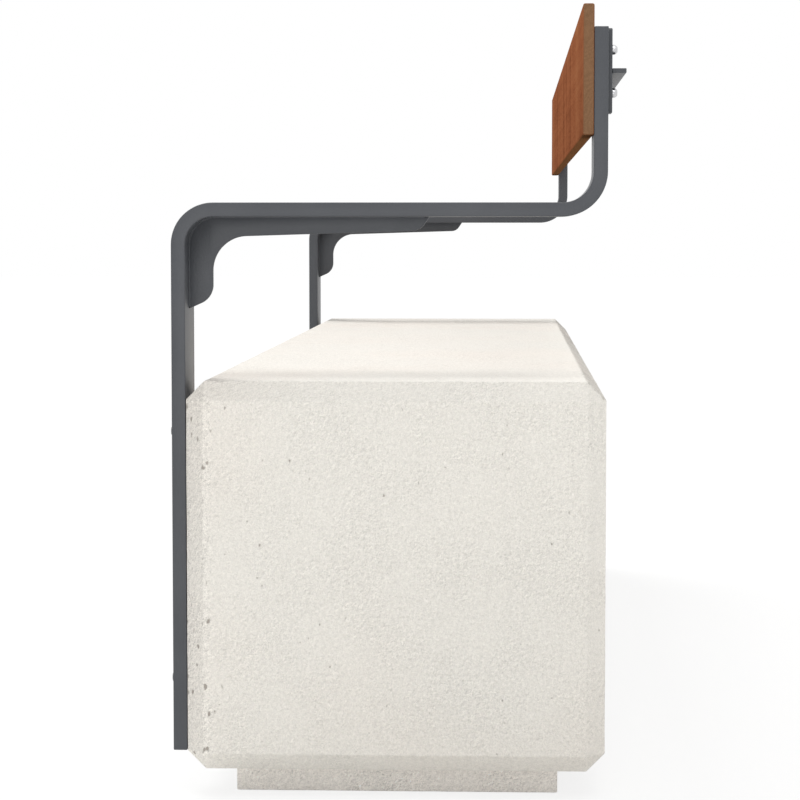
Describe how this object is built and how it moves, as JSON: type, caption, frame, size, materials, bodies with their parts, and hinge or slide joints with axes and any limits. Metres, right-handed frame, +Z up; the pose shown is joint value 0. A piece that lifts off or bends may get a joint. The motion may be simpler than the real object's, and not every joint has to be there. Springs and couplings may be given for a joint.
{
  "type": "concrete bench",
  "caption": "Chamfered concrete block bench on a recessed plinth, with bent steel arm bars that carry a timber backrest board on a steel back rail.",
  "frame": {"origin": "centre of the plinth's underside, where the bench stands on the ground", "axes": "+X along the bench to the sitter's left, +Y to the back, +Z up"},
  "size_m": [2, 0.4905, 0.849],
  "materials": {
    "concrete": "fair-faced off-white concrete, fine sandy grain with small pores",
    "powder_coated_steel": "satin anthracite powder coat",
    "hardwood": "oiled reddish hardwood",
    "stainless_steel": "plain stainless",
    "zinc_plated_steel": "zinc plated",
    "reinforcing_steel": "mill scale",
    "insert_brass": "plain brass"
  },
  "bodies": {
    "root": {"seat_block": "concrete", "base_plinth": "concrete", "reinforcing_bars": "reinforcing_steel", "frame_sockets": "zinc_plated_steel", "socket_anchor_plates": "zinc_plated_steel", "left_arm_bar": "powder_coated_steel", "right_arm_bar": "powder_coated_steel", "left_arm_gusset": "powder_coated_steel", "right_arm_gusset": "powder_coated_steel", "frame_bolts": "powder_coated_steel", "backrest_board": "hardwood", "board_inserts": "insert_brass", "rail_packer": "powder_coated_steel", "rail_plate": "powder_coated_steel", "rail_rib": "powder_coated_steel", "rail_screws": "stainless_steel"}
  },
  "joints": []
}
